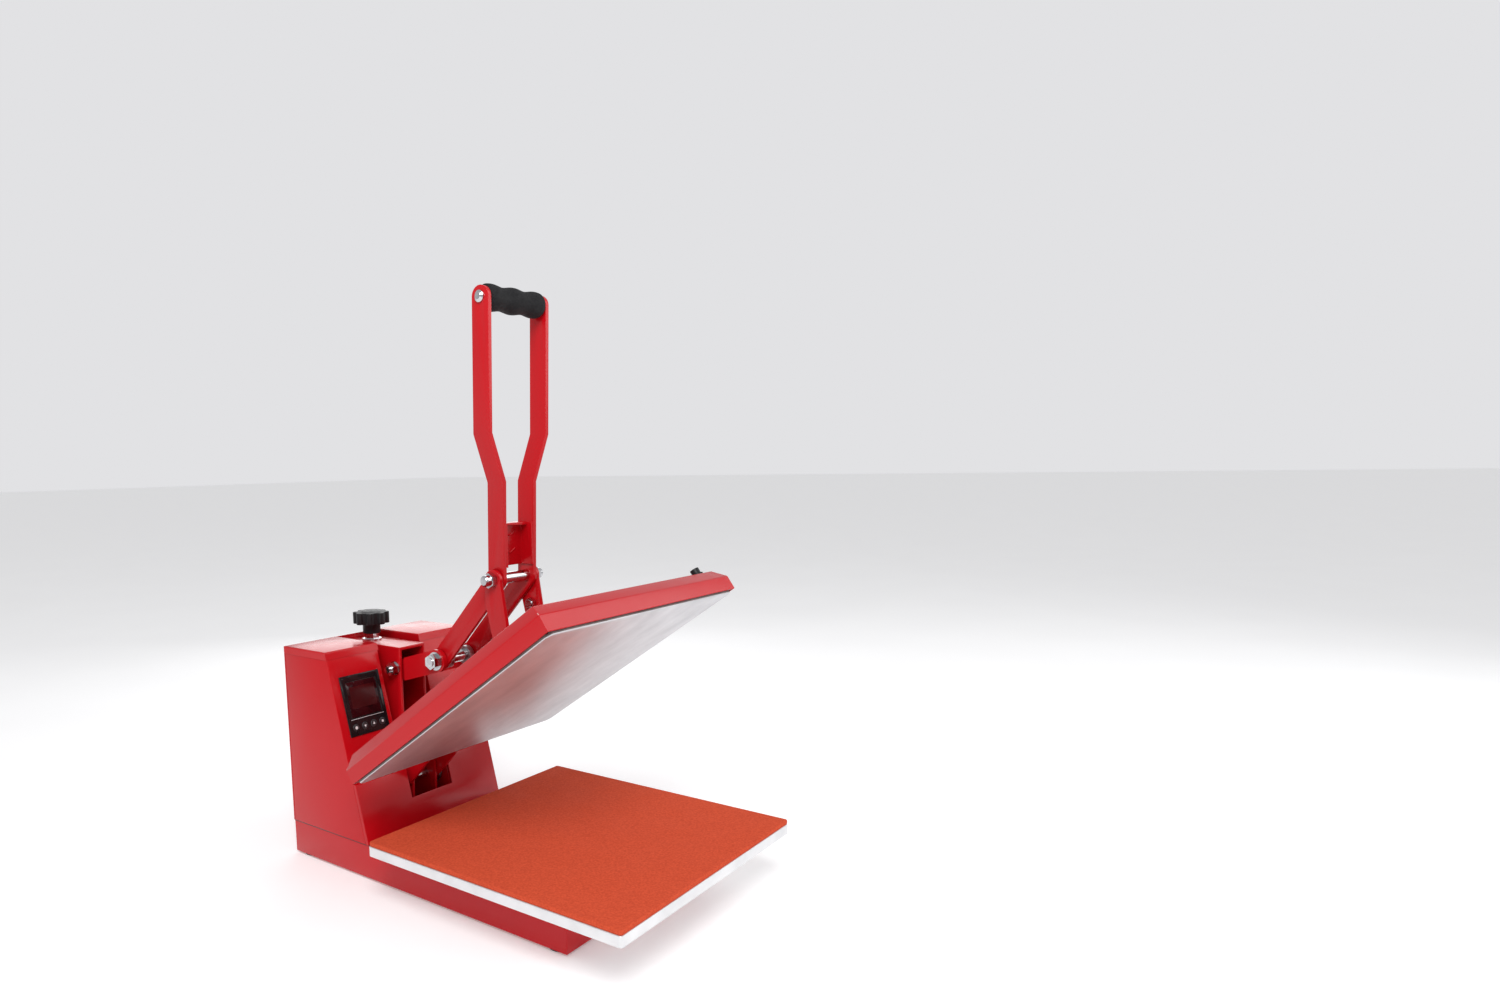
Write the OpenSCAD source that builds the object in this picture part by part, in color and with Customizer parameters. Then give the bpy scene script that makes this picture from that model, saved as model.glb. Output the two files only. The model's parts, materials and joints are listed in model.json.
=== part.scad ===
/* [Bed] */
// Width and depth of the lower platen and its pad
bed_w = 380; // [360:5:400]
// Thickness of the silicone pad
pad_t = 6; // [4:0.5:8]
// Thickness of the lower platen
board_t = 13; // [8:0.5:16]
// Height of the pad's top above the base's underside
pad_top = 89; // [85:1:92]

/* [Base and housing] */
// Half width of the base tray
base_half = 131; // [120:1:140]
// Front end of the base, from the bed's centre
base_front = -75; // [-100:1:-60]
// Rear face of the base and housing, from the bed's centre
rear_y = 421; // [418:1:430]
// Height of the base tray
base_h = 47; // [44:1:50]
// Height of the housing's top
housing_top = 302; // [295:1:310]
// Front top edge of the housing
front_top = 330; // [325:1:335]
// Foot of the housing's slanted front
front_foot = 264.6; // [260:0.2:268]
// Half width of the gap between the two boxes
gap_half = 41; // [40.6:0.2:44]
// Sheet steel thickness
sheet = 2; // [1.2:0.2:2.4]
// Thickness of the rubber feet
foot_h = 3; // [2:0.5:6]

/* [Upper platen] */
// Half width of the cover
cover_half = 194; // [190:1:198]
// Half depth of the cover
cover_deep = 193; // [190:1:196]
// Lower edge of the cover when it is shut
rim_z = 92.5; // [92:0.5:95]
// Height of the cover's upright wall
wall_h = 19.5; // [14:0.5:22]
// Height of the whole cover
cover_h = 34.5; // [30:0.5:34.5]
// Inset of the cover's top behind its walls
bevel_in = 11; // [8:1:16]
// Angle that the platen opens to
open_angle = 35.36; // [30:0.01:35.36]

/* [Lever] */
// Width of the rear legs
leg_w = 27.5; // [24:0.5:28]
// Width of the handle bars
bar_w = 26; // [22:1:28]
// Height of the grip's axis
grip_z = 744; // [700:1:760]
// Distance from the centre to the narrow bars' inner faces
bar_in = 26; // [25.9:0.1:26]
// The same at the grip
bar_out = 50.8; // [44:0.1:56]
// Thickness of the bars and the legs
plate_t = 6; // [5:0.5:6]

/* [Pressure screw] */
// Axis of the screw behind the bed's centre
knob_y = 386; // [384:1:388]
// Diameter of the star knob
knob_d = 53; // [40:1:56]
// Diameter of the screw
stud_d = 12; // [12:1:12]

/* [Hidden] */
$fn = 64;

// Sizes are drawn from the bed's centre; seat() moves them to the part's origin,
// the middle of the footprint on the surface that the feet stand on.
rear_fitting = 3;
bed_y = -(rear_y + rear_fitting - bed_w / 2) / 2;

// Pivots as [y, z] with the platen raised, except platen_pin_shut
axle = [306.4, 101.5];
anchor = [310, 265];
rear_pivot = [213, 289];
knee = [107, 405];
platen_pin = [95, 306];
function turn(p, a) = [p.x * cos(a) - p.y * sin(a), p.x * sin(a) + p.y * cos(a)];
platen_pin_shut = axle + turn(platen_pin - axle, open_angle);

// Layers along X, from the middle outwards
column_in = 20;
column_out = 24.5;
arm_in = 25.5;
link_in = 33;
link_out = 39;

main_d = 16;
rear_d = 16;
knee_d = 12;
shaft_d = 10;
anchor_d = 10;
fit = 0.05;

slant = (front_top - front_foot) / (housing_top - base_h);
slant_angle = atan(slant);
function front_y(z) = front_foot + (z - base_h) * slant;

// ---- helpers ----
module seat() { translate([0, bed_y, foot_h]) children(); }

module about_axle(a) {
    translate([0, axle.x, axle.y]) rotate([a, 0, 0]) translate([0, -axle.x, -axle.y]) children();
}

module raised() { about_axle(-open_angle) children(); }

module yz_plate(x0, t) { translate([x0, 0, 0]) rotate([90, 0, 90]) linear_extrude(t) children(); }

module xz_plate(y0, t) {
    translate([0, y0 + t, 0]) rotate([90, 0, 0]) linear_extrude(t) children();
}

module x_rod(p, d, x0, x1) { translate([x0, p.x, p.y]) rotate([0, 90, 0]) cylinder(d = d, h = x1 - x0); }

module x_hex(p, flats, x0, x1) {
    translate([x0, p.x, p.y]) rotate([0, 90, 0]) cylinder(d = flats / cos(30), h = x1 - x0, $fn = 6);
}

module both_sides() {
    children();
    mirror([1, 0, 0]) children();
}

module bar(p, q, w) {
    for (e = [p, q]) translate(e) circle(d = w);
    translate(p) rotate(atan2(q.y - p.y, q.x - p.x)) translate([0, 0.05 - w / 2])
        square([norm(q - p), w - 0.1]);
}

module rounded_rect(w, d, r) {
    square([w - 2 * r, d], center = true);
    square([w, d - 2 * r], center = true);
    for (sx = [-1, 1], sy = [-1, 1]) translate([sx * (w / 2 - r), sy * (d / 2 - r)]) circle(r);
}

// Local frame of the slanted front: X across, Z up the slope, Y into the housing
module on_slant() {
    translate([0, front_foot, base_h]) rotate([-slant_angle, 0, 0]) children();
}

// A round wire swept along rings, each [centre, side axis, up axis]
module wire(rings, d, sides) {
    count = len(rings);
    points = [for (g = rings, k = [0:sides - 1])
        g[0] + d / 2 * (cos(360 * k / sides) * g[1] + sin(360 * k / sides) * g[2])];
    walls = [for (i = [0:count - 2], k = [0:sides - 1]) let (m = (k + 1) % sides)
        [i * sides + k, i * sides + m, (i + 1) * sides + m, (i + 1) * sides + k]];
    ends = [[for (k = [sides - 1:-1:0]) k], [for (k = [0:sides - 1]) (count - 1) * sides + k]];
    polyhedron(points, concat(walls, ends));
}

// ---- base and bed ----
module base_tray() color("crimson") seat() difference() {
    lip = 25;
    depth = rear_y - base_front;
    translate([-base_half, base_front, 0]) cube([2 * base_half, depth, base_h]);
    translate([-base_half + sheet, base_front + sheet, sheet])
        cube([2 * (base_half - sheet), depth - 2 * sheet, base_h - 2 * sheet]);
    translate([-base_half + lip, base_front + lip, -1])
        cube([2 * (base_half - lip), depth - 2 * lip, sheet + 2]);
}

foot_at = [for (sx = [-1, 1], y = [base_front + 22, rear_y - 22]) [sx * (base_half - 18), y]];

module rubber_feet() color("dimgray") seat()
    for (p = foot_at) translate([p.x, p.y, -foot_h]) cylinder(d = 30, h = foot_h);

stand_half = 90;
stand_rear = 185;
module bed_stand() color("firebrick") seat() difference() {
    top = pad_top - pad_t - board_t;
    front = base_front + 8;
    translate([-stand_half, front, base_h]) cube([2 * stand_half, stand_rear - front, top - base_h]);
    translate([-stand_half + 3, front + 3, base_h - 1])
        cube([2 * stand_half - 6, stand_rear - front - 6, top - base_h - 2]);
}

module lower_platen() color("silver") seat()
    translate([0, 0, pad_top - pad_t - board_t]) linear_extrude(board_t) rounded_rect(bed_w, bed_w, 4);

module silicone_pad() color("orangered") seat()
    translate([0, 0, pad_top - pad_t]) linear_extrude(pad_t) rounded_rect(bed_w - 1, bed_w - 1, 4);

// ---- housing ----
panel_x0 = -119;
panel_w = 70;
panel_s0 = 143.5;
panel_h = 83.6;

module housing_profile(t) {
    polygon([[front_foot + t / cos(slant_angle), base_h - t], [rear_y - sheet, base_h - t],
        [rear_y - sheet, housing_top - t], [front_y(housing_top - t) + t / cos(slant_angle),
        housing_top - t]]);
}

module housing_box(x0, x1) {
    difference() {
        yz_plate(x0, x1 - x0) housing_profile(0);
        yz_plate(x0 + sheet, x1 - x0 - 2 * sheet) housing_profile(sheet);
        translate([x0 + sheet, rear_y - sheet - 4, base_h - 1])
            cube([x1 - x0 - 2 * sheet, 8, housing_top - base_h - sheet + 1]);
    }
}

box_half = base_half + 1;
module housing_left() color("crimson") seat() difference() {
    housing_box(-box_half, -gap_half);
    on_slant() translate([panel_x0 + 3, -5, panel_s0 + 3]) cube([panel_w - 6, 12, panel_h - 6]);
}

module housing_right() color("crimson") seat() housing_box(gap_half, box_half);

inlet_x = 88;
inlet_z = 84;
switch_z = 128;
fuse_x = 62;
screw_at = [for (sx = [-1, 1], x = [50, 124], z = [58, 174, 292]) [sx * x, z]];

module rear_panel() color("crimson") seat() difference() {
    xz_plate(rear_y - sheet, sheet) difference() {
        translate([-box_half, base_h]) square([2 * box_half, housing_top - base_h]);
        translate([inlet_x - 14, inlet_z - 10]) square([28, 20]);
        translate([inlet_x - 10, switch_z - 7]) square([20, 14]);
        translate([fuse_x, switch_z]) circle(d = 12.4);
        for (p = screw_at) translate(p) circle(d = 3.4);
        for (sx = [-1, 1], k = [0:6])
            translate([sx * 86 - 22, 196 + k * 11]) rounded_slot(44, 4.4);
    }
}

module rounded_slot(length, w) {
    translate([w / 2, 0]) circle(d = w, $fn = 24);
    translate([length - w / 2, 0]) circle(d = w, $fn = 24);
    translate([w / 2, -w / 2]) square([length - w, w]);
}

module housing_screws() color("silver") seat() for (p = screw_at) translate([p.x, rear_y, p.y]) {
    rotate([-90, 0, 0]) cylinder(d = 6.5, h = 2, $fn = 32);
    rotate([90, 0, 0]) cylinder(d = 3.3, h = 8, $fn = 24);
}

skirt_top = 127;
skirt_off = 6;
skirt_t = 1.6;
notch_half = 40;
notch_z = 86;
module front_panel() color("crimson") seat() difference() {
    yz_plate(-box_half, 2 * box_half) polygon([[front_foot - skirt_off, base_h],
        [front_foot - 0.1, base_h], [front_y(skirt_top) - 0.1, skirt_top],
        [front_y(skirt_top) - skirt_off, skirt_top]]);
    yz_plate(-box_half + skirt_t, 2 * (box_half - skirt_t))
        polygon([[front_y(base_h - 1) - skirt_off + skirt_t, base_h - 1], [front_foot + 1, base_h - 1],
            [front_y(skirt_top) + 1, skirt_top - skirt_t],
            [front_y(skirt_top - skirt_t) - skirt_off + skirt_t, skirt_top - skirt_t]]);
    translate([-notch_half, front_foot - 10, notch_z]) cube([2 * notch_half, 50, 60]);
}

// ---- column and main axle ----
column_front = 300;
column_back = 417;
column_top = 295.5;
module column() color("crimson") seat() difference() {
    union() {
        both_sides() yz_plate(column_in, column_out - column_in) difference() {
            polygon([[284, base_h], [column_back, base_h], [column_back, column_top],
                [column_front, column_top], [column_front, 135], [284, 121]]);
            translate(axle) circle(d = main_d);
            translate(anchor) circle(d = anchor_d);
        }
        translate([-column_out, column_front, column_top - 4.5])
            cube([2 * column_out, column_back - column_front, 4.5]);
        translate([-column_out, column_back - 4.5, base_h])
            cube([2 * column_out, 4.5, column_top - base_h]);
        translate([-36, 290, base_h]) cube([72, column_back - 290, 4]);
    }
    translate([0, knob_y, column_top - 10]) cylinder(d = stud_d + 0.6, h = 20);
}

clip_x = gap_half - 2.2;
module main_axle() color("silver") seat() difference() {
    x_rod(axle, main_d, -gap_half + 0.4, gap_half - 0.4);
    for (s = [-1, 1]) difference() {
        x_rod(axle, main_d + 4, s * (clip_x + 0.6) - 0.6, s * (clip_x + 0.6) + 0.6);
        x_rod(axle, main_d - 2, s * (clip_x + 0.6) - 1, s * (clip_x + 0.6) + 1);
    }
}

module axle_clips() color("gray") seat() for (s = [-1, 1]) difference() {
    x_rod(axle, 23, s * (clip_x + 0.6) - 0.6, s * (clip_x + 0.6) + 0.6);
    x_rod(axle, main_d - 2, s * (clip_x + 0.6) - 1, s * (clip_x + 0.6) + 1);
    translate([s * clip_x - 3, axle.x - 4, axle.y - 20]) cube([8, 8, 16]);
}

spring_r = 19;
spring_wire = 1.8;
spring_turns = 2.6;
spring_leg = 26;
function coil_dir(a) = [0, cos(a), sin(a)];
function coil_run(a) = [0, -sin(a), cos(a)];
function coil_ring(a, x) = [[x, axle.x, axle.y] + spring_r * coil_dir(a), coil_dir(a), [1, 0, 0]];
module lift_spring() {
    steps = 42;
    first = 205;
    x0 = 33.1;
    x1 = 37.7;
    total = 360 * spring_turns;
    coil = [for (i = [0:steps]) coil_ring(first - total * i / steps, x0 + (x1 - x0) * i / steps)];
    head = coil[0];
    tail = coil[steps];
    start = [head[0] + spring_leg * coil_run(first), head[1], head[2]];
    finish = [tail[0] - spring_leg * coil_run(first - total), tail[1], tail[2]];
    wire(concat([start], coil, [finish]), spring_wire, 8);
}

module lift_springs() color("lightgray") seat() both_sides() lift_spring();

// ---- upper platen, drawn shut and then raised ----
cover_top = rim_z + cover_h;
slot_run = [-14, -6.5];
slot_w = 20;
module arm_profile() difference() {
    union() {
        translate(axle) circle(r = 16);
        polygon([[axle.x, axle.y - 15.8], [268, 91], [236, 98], [200, cover_top + 0.2], [-22, cover_top + 0.2],
            [-22, 150], [-10, 163], [196, 166], [252, 148], [axle.x + 5, axle.y + 14.6]]);
    }
    translate(axle) circle(d = main_d + 2 * fit);
    bar(platen_pin_shut, platen_pin_shut + slot_run, slot_w);
}

bolt_at = [40, 100, 165];
bolt_x = 16;
flange_t = 4;
tie = [150, 148];
module platen_arm() difference() {
    union() {
        yz_plate(arm_in, plate_t) arm_profile();
        translate([7, -20, cover_top + 0.2]) cube([arm_in - 7 + 1, 200, flange_t]);
    }
    for (y = bolt_at) translate([bolt_x, y, cover_top - 5]) cylinder(d = 8, h = 20, $fn = 32);
}

module platen_arm_right() color("crimson") seat() raised() platen_arm();
module platen_arm_left() color("crimson") seat() raised() mirror([1, 0, 0]) platen_arm();
module arm_tie() color("crimson") seat() raised() x_rod(tie, 20, -arm_in, arm_in);

module platen_bolts() color("silver") seat() raised() both_sides() for (y = bolt_at)
    translate([bolt_x, y, 0]) {
        translate([0, 0, cover_top - sheet]) cylinder(d = 8, h = sheet + flange_t + 1, $fn = 32);
        translate([0, 0, cover_top + 0.2 + flange_t]) cylinder(d = 13 / cos(30), h = 5.3, $fn = 6);
    }

module cover_form(t) intersection() {
    xz_plate(-cover_deep + t, 2 * (cover_deep - t)) cover_outline(cover_half - t, t);
    yz_plate(-cover_half + t, 2 * (cover_half - t)) cover_outline(cover_deep - t, t);
}

module cover_outline(half, t) polygon([[-half, rim_z - t], [half, rim_z - t], [half, rim_z + wall_h],
    [half - bevel_in, cover_top - t], [-half + bevel_in, cover_top - t], [-half, rim_z + wall_h]]);

gland_at = [166, -171];
module platen_cover() color("red") seat() raised() difference() {
    cover_form(0);
    cover_form(sheet);
    for (s = [-1, 1], y = bolt_at) translate([s * bolt_x, y, cover_top - 5])
        cylinder(d = 8, h = 10, $fn = 32);
    translate([gland_at.x, gland_at.y, cover_top - 5]) cylinder(d = 10, h = 10, $fn = 32);
}

plate_z = pad_top + 0.3;
plate_h = 9;
plate_half = cover_deep - 3.2;
element_d = 8;
module heating_plate() color("gainsboro") seat() raised() translate([0, 0, plate_z])
    linear_extrude(plate_h) polygon([for (q = [[1, 1], [-1, 1], [-1, -1], [1, -1]], k = [0, 1])
        [q.x * (plate_half - ((q.x * q.y > 0) == (k == 0) ? 0 : 6)),
         q.y * (plate_half - ((q.x * q.y > 0) == (k == 0) ? 6 : 0))]]);

element_pitch = 60;
element_run = 120;
module heating_element() color("dimgray") seat() raised()
    translate([0, 0, plate_z + plate_h + element_d / 2]) {
        for (k = [-2:2]) translate([k * element_pitch, -element_run, 0]) rotate([-90, 0, 0])
            cylinder(d = element_d, h = 2 * element_run);
        for (k = [-2:1]) translate([(k + 0.5) * element_pitch, (k % 2 == 0 ? 1 : -1) * element_run, 0])
            rotate([0, 0, k % 2 == 0 ? 0 : 180]) rotate_extrude(angle = 180)
                translate([element_pitch / 2, 0]) circle(d = element_d);
    }

insulation_z = plate_z + plate_h + element_d + 0.4;
module insulation_pad() color("beige") seat() raised() difference() {
    translate([0, 0, insulation_z]) linear_extrude(cover_top - sheet - 3 - insulation_z)
        rounded_rect(2 * cover_half - 40, 2 * cover_deep - 40, 8);
    translate([90, 150, insulation_z - 1]) cylinder(d = 22, h = 40);
    for (s = [-1, 1], y = bolt_at) translate([s * bolt_x, y, cover_top - 14]) cylinder(d = 16, h = 20);
}

module thermocouple() color("gray") seat() raised() translate([90, 150, plate_z + plate_h]) {
    cylinder(d = 18, h = 4);
    cylinder(d = 9, h = 12);
}

module lead_gland() color("black") seat() raised() translate([gland_at.x, gland_at.y, cover_top]) {
    cylinder(d = 16, h = 3, $fn = 32);
    cylinder(d = 12, h = 11, $fn = 32);
    translate([0, 0, -4]) cylinder(d = 9.8, h = 5, $fn = 32);
}

// ---- pressure arm ----
fork_back = 276;
fork_wall = 6;
arm_h = 31;
tail_end = [396, 234.3];
tail_start = [272, 271.4];
nut_at = [knob_y, 237.3];
nut_d = 18;
arm_slope = atan2(tail_end.y - tail_start.y, tail_end.x - tail_start.x);
module pressure_arm() color("crimson") seat() {
    difference() {
        union() {
            both_sides() yz_plate(link_in, link_out - link_in) fork_profile();
            translate([-link_out, 0, 0]) yz_plate(0, 2 * link_out) intersection() {
                fork_profile();
                translate([fork_back - fork_wall, 200]) square([fork_wall, 120]);
            }
            both_sides() yz_plate(11, 6) difference() {
                bar(tail_start, tail_end, 29);
                translate([200, 200]) square([fork_back - fork_wall - 200 + 1, 120]);
            }
        }
        x_rod(rear_pivot, rear_d, -50, 50);
        x_rod(anchor, anchor_d + 2 * fit, -50, 50);
        yz_plate(-20, 40) bar(nut_at + [-1, 0.3], nut_at + [1, -0.3], nut_d + 0.6);
    }
}

module fork_profile() intersection() {
    bar(rear_pivot, rear_pivot + 120 * [cos(arm_slope), sin(arm_slope)], arm_h);
    translate([150, 200]) square([fork_back - 150, 130]);
}

module anchor_bolt() color("silver") seat() {
    x_rod(anchor, anchor_d, -41, 31);
    x_rod(anchor, 20, -column_out - 2, -column_out);
    x_hex(anchor, 16, -column_out - 12, -column_out - 2);
    x_rod(anchor, 20, column_out, column_out + 2);
    x_hex(anchor, 16, column_out + 2, column_out + 9);
}

nut_len = 11;
module rear_axle() color("silver") seat() {
    x_rod(rear_pivot, rear_d, -link_out, link_out);
    x_rod(rear_pivot, 12, -link_out - nut_len - 1.2, link_out + nut_len + 1.2);
}

module rear_axle_nuts() color("silver") seat() both_sides() difference() {
    union() {
        x_rod(rear_pivot, 25, link_out, link_out + 1.6);
        x_hex(rear_pivot, 18, link_out + 1.6, link_out + nut_len);
    }
    x_rod(rear_pivot, 12, link_out - 1, link_out + nut_len + 1);
}

module axle_collars() color("gray") seat() both_sides() difference() {
    x_rod(rear_pivot, 25, 15, 23);
    x_rod(rear_pivot, rear_d, 14, 24);
}

// ---- lever: handle bars and rear legs in one plate each side ----
flare_lo = 527;
flare_hi = 586;
grip = [99, grip_z];
module lever_outline() difference() {
    union() {
        bar(rear_pivot, knee, leg_w);
        bar(knee, grip, bar_w);
    }
    translate(rear_pivot) circle(d = rear_d + 2 * fit);
    translate(knee) circle(d = knee_d);
    translate(grip) circle(d = 10);
}

module bent_strip() polygon([[bar_in, 250], [bar_in, flare_lo], [bar_out, flare_hi], [bar_out, 780],
    [bar_out + plate_t, 780], [bar_out + plate_t, flare_hi - 1.2], [bar_in + plate_t, flare_lo - 1.2],
    [bar_in + plate_t, 250]]);

module lever_plate() intersection() {
    xz_plate(60, 180) bent_strip();
    yz_plate(20, 50) lever_outline();
}

module lever_right() color("crimson") seat() lever_plate();
module lever_left() color("crimson") seat() mirror([1, 0, 0]) lever_plate();

web_lo = 420;
web_hi = 475;
web_front = 93;
web_back = 114;
module handle_web() color("crimson") seat() difference() {
    translate([-bar_in, web_front, web_lo]) cube([2 * bar_in, web_back - web_front, web_hi - web_lo]);
    translate([-bar_in + 3, web_front - 1, web_lo - 1])
        cube([2 * bar_in - 6, web_back - web_front - 2, web_hi - web_lo - 2]);
    translate([-bar_in + 3, web_front - 1, web_hi - 8]) cube([2 * bar_in - 6, 9, 20]);
}

module knee_bolt() color("silver") seat() {
    x_rod(knee, knee_d, -50, 50);
    both_sides() {
        x_hex(knee, 17, link_out + 0.3, link_out + 8);
        translate([link_out + 8, knee.x, knee.y]) rotate([0, 90, 0]) cylinder(d1 = 15, d2 = 14, h = 6.5);
        translate([link_out + 14.5, knee.x, knee.y]) rotate([0, 90, 0]) cylinder(d1 = 14, d2 = 10, h = 2);
    }
}

module knee_spacer() color("silver") seat() difference() {
    x_rod(knee, 15, -bar_in, bar_in);
    x_rod(knee, knee_d, -bar_in - 1, bar_in + 1);
}

grip_len = 2 * bar_out - 1;
function grip_r(t) = 15.2 + 1.2 * cos(360 * 3.5 * (t - 0.5));
module grip_foam() color("black") seat() translate([-grip_len / 2, grip.x, grip.y])
    rotate([0, 90, 0]) rotate_extrude()
        polygon(concat([[5, 0]], [for (i = [0:28]) [grip_r(i / 28), grip_len * i / 28]], [[5, grip_len]]));

module grip_bolt() color("silver") seat() {
    x_rod(grip, 10, -bar_out - plate_t - 1, bar_out + plate_t + 1);
    both_sides() translate([bar_out + plate_t, grip.x, grip.y]) rotate([0, 90, 0]) {
        cylinder(d = 14, h = 2);
        translate([0, 0, 2]) cylinder(d1 = 14, d2 = 8, h = 2.4);
    }
}

// ---- toggle legs ----
pin_r = 9.5;
stud_at = knee + 0.38 * (platen_pin - knee);
module toggle_outline() difference() {
    union() {
        translate(knee) circle(r = 13);
        translate(platen_pin) circle(r = pin_r);
        polygon([knee + [-12.7, -2.6], [85.6, 352.6], [82, 330], platen_pin + [-9.4, -1.4],
            platen_pin + [9.2, -2.4], [109, 328], [111.4, 337], knee + [12.8, -34], knee + [12.9, 1.6]]);
    }
    translate(knee) circle(d = knee_d + 2 * fit);
    translate(platen_pin) circle(d = shaft_d);
}

module toggle_leg() yz_plate(link_in, link_out - link_in) toggle_outline();
module toggle_leg_right() color("crimson") seat() toggle_leg();
module toggle_leg_left() color("crimson") seat() mirror([1, 0, 0]) toggle_leg();
module toggle_studs() color("silver") seat() both_sides() {
    x_hex(stud_at, 14, link_in - 6.5, link_in);
    x_rod(stud_at, 9, link_in - 8, link_in);
}
module toggle_shaft() color("silver") seat() x_rod(platen_pin, shaft_d, -link_out, link_out);

// ---- pressure screw ----
knob_under = 320;
knob_t = 17;
bush_h = 9.5;
module pressure_knob() color("black") seat() translate([0, knob_y, 0]) difference() {
    union() {
        translate([0, 0, column_top + bush_h + 0.4])
            cylinder(d = 26, h = knob_under - column_top - bush_h);
        translate([0, 0, knob_under]) linear_extrude(knob_t) {
            circle(d = knob_d - 9);
            for (k = [0:7]) rotate(45 * k) translate([knob_d / 2 - 6, 0]) circle(d = 12, $fn = 32);
        }
        translate([0, 0, knob_under + knob_t]) cylinder(d1 = knob_d - 12, d2 = knob_d - 20, h = 1.5);
    }
    translate([0, 0, column_top]) cylinder(d = stud_d, h = 40);
}

module pressure_stud() color("silver") seat() translate([0, knob_y, 214])
    cylinder(d = stud_d, h = column_top + 40 - 214);

module pressure_nut() color("goldenrod") seat() difference() {
    x_rod(nut_at, nut_d, -16.5, 16.5);
    translate([0, knob_y, 200]) cylinder(d = stud_d + 0.16, h = 80);
}

module stud_bush() color("silver") seat() translate([0, knob_y, column_top]) difference() {
    union() {
        cylinder(d = 28, h = 2);
        translate([0, 0, 2]) cylinder(d = 19 / cos(30), h = bush_h - 2, $fn = 6);
    }
    translate([0, 0, -1]) cylinder(d = stud_d + 0.16, h = 20);
}

// ---- controls ----
button_pitch = 15.6;
button_s = panel_s0 + 11.5;
button_x0 = panel_x0 + panel_w / 2 - 1.5 * button_pitch;
window_w = 54;
window_h = 50;
window_s = panel_s0 + 25;
proud = 1.6;

module control_fascia() color("black") seat() on_slant() difference() {
    union() {
        translate([panel_x0, -proud, panel_s0]) cube([panel_w, proud - 0.05, panel_h]);
        translate([panel_x0 + 3.2, -0.1, panel_s0 + 3.2]) cube([panel_w - 6.4, 8, panel_h - 6.4]);
    }
    translate([panel_x0 + (panel_w - window_w) / 2, -5, window_s]) cube([window_w, 20, window_h]);
    translate([panel_x0 + 5, 2, panel_s0 + 5]) cube([panel_w - 10, 20, panel_h - 10]);
    for (k = [0:3]) translate([button_x0 + k * button_pitch, -5, button_s]) rotate([-90, 0, 0])
        cylinder(d = 11, h = 30, $fn = 32);
}

module display_window() color("darkslategray") seat() on_slant()
    translate([panel_x0 + (panel_w - window_w) / 2, -proud + 0.3, window_s]) cube([window_w, 3, window_h]);

module button(k) color("dimgray") seat() on_slant()
    translate([button_x0 + k * button_pitch, -proud - 0.7, button_s]) rotate([-90, 0, 0])
        cylinder(d = 10.6, h = 7, $fn = 32);

module button_set() button(0);
module button_down() button(1);
module button_up() button(2);
module button_mode() button(3);

module control_board() color("darkgreen") seat() on_slant() {
    translate([panel_x0 + 5.5, 8.6, panel_s0 + 5.5]) cube([panel_w - 11, 1.6, panel_h - 11]);
    translate([panel_x0 + 9, 10.2, panel_s0 + 40]) cube([24, 14, 26]);
    translate([panel_x0 + 42, 10.2, panel_s0 + 12]) cube([16, 12, 30]);
    translate([panel_x0 + (panel_w - window_w) / 2, 2, window_s]) cube([window_w, 6.6, window_h]);
}

module relay_module() color("gray") seat() translate([60, 350, base_h]) {
    cube([58, 14, 90]);
    for (k = [0:5]) translate([4 + k * 9, 14, 0]) cube([3, 22, 90]);
    translate([6, -24, 20]) cube([45, 24, 58]);
}

module terminal_block() color("ivory") seat() translate([58, 300, base_h]) {
    cube([60, 22, 12]);
    for (k = [0:4]) translate([3 + k * 12, 4, 12]) cube([7, 14, 8]);
}

module power_inlet() color("black") seat() difference() {
    union() {
        translate([inlet_x - 24, rear_y, inlet_z - 12]) cube([48, rear_fitting, 24]);
        translate([inlet_x - 13.8, rear_y - 24, inlet_z - 9.8]) cube([27.6, 25, 19.6]);
    }
    difference() {
        translate([inlet_x - 12, rear_y - 16, inlet_z - 8]) cube([24, 30, 16]);
        for (p = [[-7, -1.5], [0, 2.5], [7, -1.5]])
            translate([inlet_x + p.x - 1, rear_y - 17, inlet_z + p.y - 2]) cube([2, 15, 4]);
    }
}

module rocker_switch() color("black") seat() difference() {
    union() {
        translate([inlet_x - 13, rear_y, switch_z - 10]) cube([26, 1.5, 20]);
        translate([inlet_x - 9.8, rear_y - 20, switch_z - 6.8]) cube([19.6, 21, 13.6]);
    }
    translate([inlet_x - 8, rear_y - 8.5, switch_z - 5.4]) cube([16, 20, 10.8]);
}

// The key is tipped to one side; its hinge takes it the same way past the middle
key_tilt = 7;
module rocker_key() color("darkred") seat() translate([inlet_x, rear_y - 0.2, switch_z - 5.1])
    linear_extrude(10.2) difference() {
        circle(r = 7.7);
        rotate(-key_tilt) translate([-10, 1]) square([20, 12]);
    }

module fuse_holder() color("black") seat() translate([fuse_x, rear_y, switch_z]) rotate([-90, 0, 0]) {
    cylinder(d = 16, h = 1.6);
    cylinder(d = 11, h = 2.8);
    translate([0, 0, -26]) cylinder(d = 12.2, h = 26.5);
}

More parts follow.
